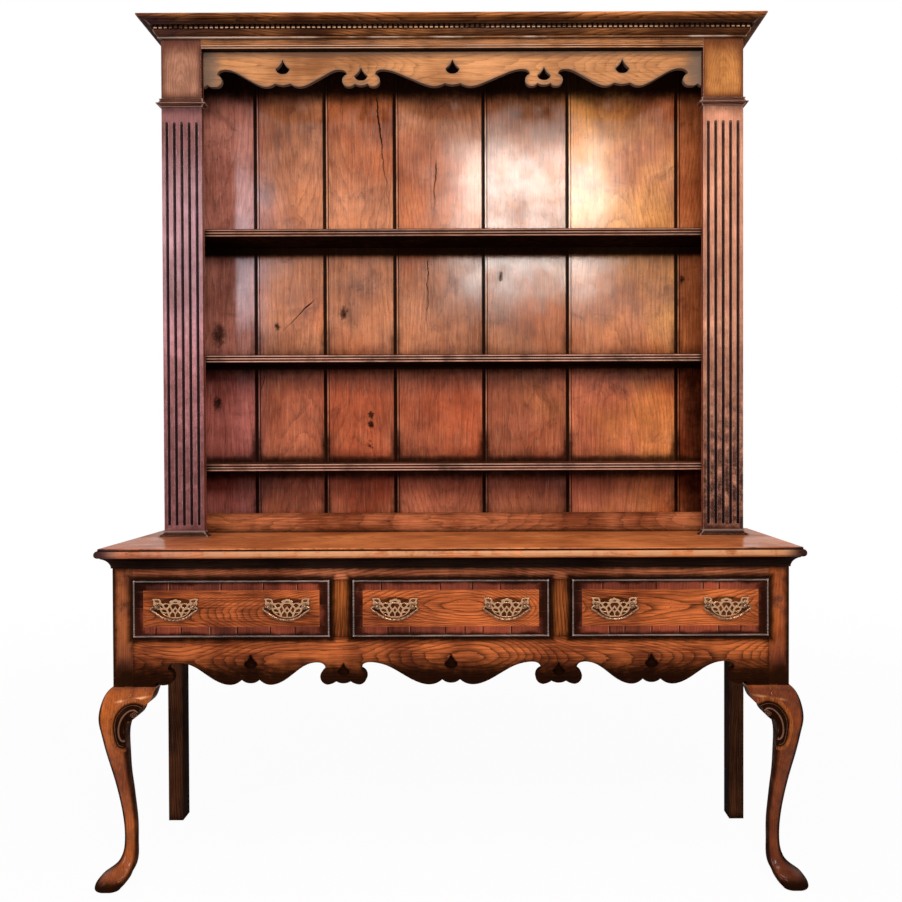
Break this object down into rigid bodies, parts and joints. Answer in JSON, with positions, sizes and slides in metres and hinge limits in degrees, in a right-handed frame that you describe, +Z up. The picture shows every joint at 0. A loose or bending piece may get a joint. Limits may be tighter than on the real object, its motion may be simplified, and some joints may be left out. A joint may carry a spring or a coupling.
{
  "type": "dresser with plate rack",
  "caption": "Oak dresser: drawers over a shaped apron on cabriole front legs, with an open shelved rack, fluted pilasters, pierced valance and dentil cornice above.",
  "frame": {"origin": "on the floor, under the middle of the plan box", "axes": "+X to the viewer's right, -Y towards the front, +Z up"},
  "size_m": [1.7662, 0.5061, 2.269],
  "materials": {
    "oak": "old waxed oak, satin",
    "oak_drawer_fronts": "old waxed oak, satin",
    "oak_crossbanding": "waxed veneer, satin",
    "oak_back_boards": "dark waxed boards, satin",
    "oak_linings": "dry, unpolished",
    "oak_inside": "dry, unpolished",
    "brass": "old lacquered brass"
  },
  "bodies": {
    "carcass": {"apron": "oak", "back_boards": "oak_back_boards", "base_back": "oak_inside", "base_side_left": "oak", "base_side_right": "oak", "cornice": "oak", "dentil_strip": "oak", "drawer_runners": "oak_inside", "drawer_stops": "oak_inside", "frieze_rail": "oak", "front_leg_left": "oak", "front_leg_right": "oak", "front_top_rail": "oak", "knee_ears": "oak", "muntins": "oak", "pilaster_left": "oak", "pilaster_mouldings": "oak", "pilaster_right": "oak", "rack_bottom_rail": "oak", "rack_side_left": "oak", "rack_side_right": "oak", "rack_top_board": "oak_inside", "rear_leg_left": "oak", "rear_leg_right": "oak", "shelf_lower": "oak", "shelf_middle": "oak", "shelf_upper": "oak", "top_boards": "oak", "top_cove": "oak", "valance": "oak"},
    "drawer_left": {"drawer_left_back": "oak_linings", "drawer_left_banding": "oak_crossbanding", "drawer_left_bottom": "oak_linings", "drawer_left_cockbead": "oak_drawer_fronts", "drawer_left_front": "oak_drawer_fronts", "drawer_left_plates": "brass", "drawer_left_posts": "brass", "drawer_left_sides": "oak_linings"},
    "drawer_left_bail_left": {"drawer_left_bail_left": "brass"},
    "drawer_left_bail_right": {"drawer_left_bail_right": "brass"},
    "drawer_middle": {"drawer_middle_back": "oak_linings", "drawer_middle_banding": "oak_crossbanding", "drawer_middle_bottom": "oak_linings", "drawer_middle_cockbead": "oak_drawer_fronts", "drawer_middle_front": "oak_drawer_fronts", "drawer_middle_plates": "brass", "drawer_middle_posts": "brass", "drawer_middle_sides": "oak_linings"},
    "drawer_middle_bail_left": {"drawer_middle_bail_left": "brass"},
    "drawer_middle_bail_right": {"drawer_middle_bail_right": "brass"},
    "drawer_right": {"drawer_right_back": "oak_linings", "drawer_right_banding": "oak_crossbanding", "drawer_right_bottom": "oak_linings", "drawer_right_cockbead": "oak_drawer_fronts", "drawer_right_front": "oak_drawer_fronts", "drawer_right_plates": "brass", "drawer_right_posts": "brass", "drawer_right_sides": "oak_linings"},
    "drawer_right_bail_left": {"drawer_right_bail_left": "brass"},
    "drawer_right_bail_right": {"drawer_right_bail_right": "brass"}
  },
  "joints": [
    {"name": "drawer_left_slide", "type": "slide", "parent": "carcass", "child": "drawer_left", "axis": [0, -1, 0], "range_m": [0, 0.33]},
    {"name": "drawer_left_bail_left_swing", "type": "hinge", "parent": "drawer_left", "child": "drawer_left_bail_left", "pos_m": [-0.685, -0.226, 0.699], "axis": [-1, 0, 0], "range_deg": [0, 78]},
    {"name": "drawer_left_bail_right_swing", "type": "hinge", "parent": "drawer_left", "child": "drawer_left_bail_right", "pos_m": [-0.407, -0.226, 0.699], "axis": [-1, 0, 0], "range_deg": [0, 78]},
    {"name": "drawer_middle_slide", "type": "slide", "parent": "carcass", "child": "drawer_middle", "axis": [0, -1, 0], "range_m": [0, 0.33]},
    {"name": "drawer_middle_bail_left_swing", "type": "hinge", "parent": "drawer_middle", "child": "drawer_middle_bail_left", "pos_m": [-0.139, -0.226, 0.699], "axis": [-1, 0, 0], "range_deg": [0, 78]},
    {"name": "drawer_middle_bail_right_swing", "type": "hinge", "parent": "drawer_middle", "child": "drawer_middle_bail_right", "pos_m": [0.139, -0.226, 0.699], "axis": [-1, 0, 0], "range_deg": [0, 78]},
    {"name": "drawer_right_slide", "type": "slide", "parent": "carcass", "child": "drawer_right", "axis": [0, -1, 0], "range_m": [0, 0.33]},
    {"name": "drawer_right_bail_left_swing", "type": "hinge", "parent": "drawer_right", "child": "drawer_right_bail_left", "pos_m": [0.407, -0.226, 0.699], "axis": [-1, 0, 0], "range_deg": [0, 78]},
    {"name": "drawer_right_bail_right_swing", "type": "hinge", "parent": "drawer_right", "child": "drawer_right_bail_right", "pos_m": [0.685, -0.226, 0.699], "axis": [-1, 0, 0], "range_deg": [0, 78]}
  ]
}
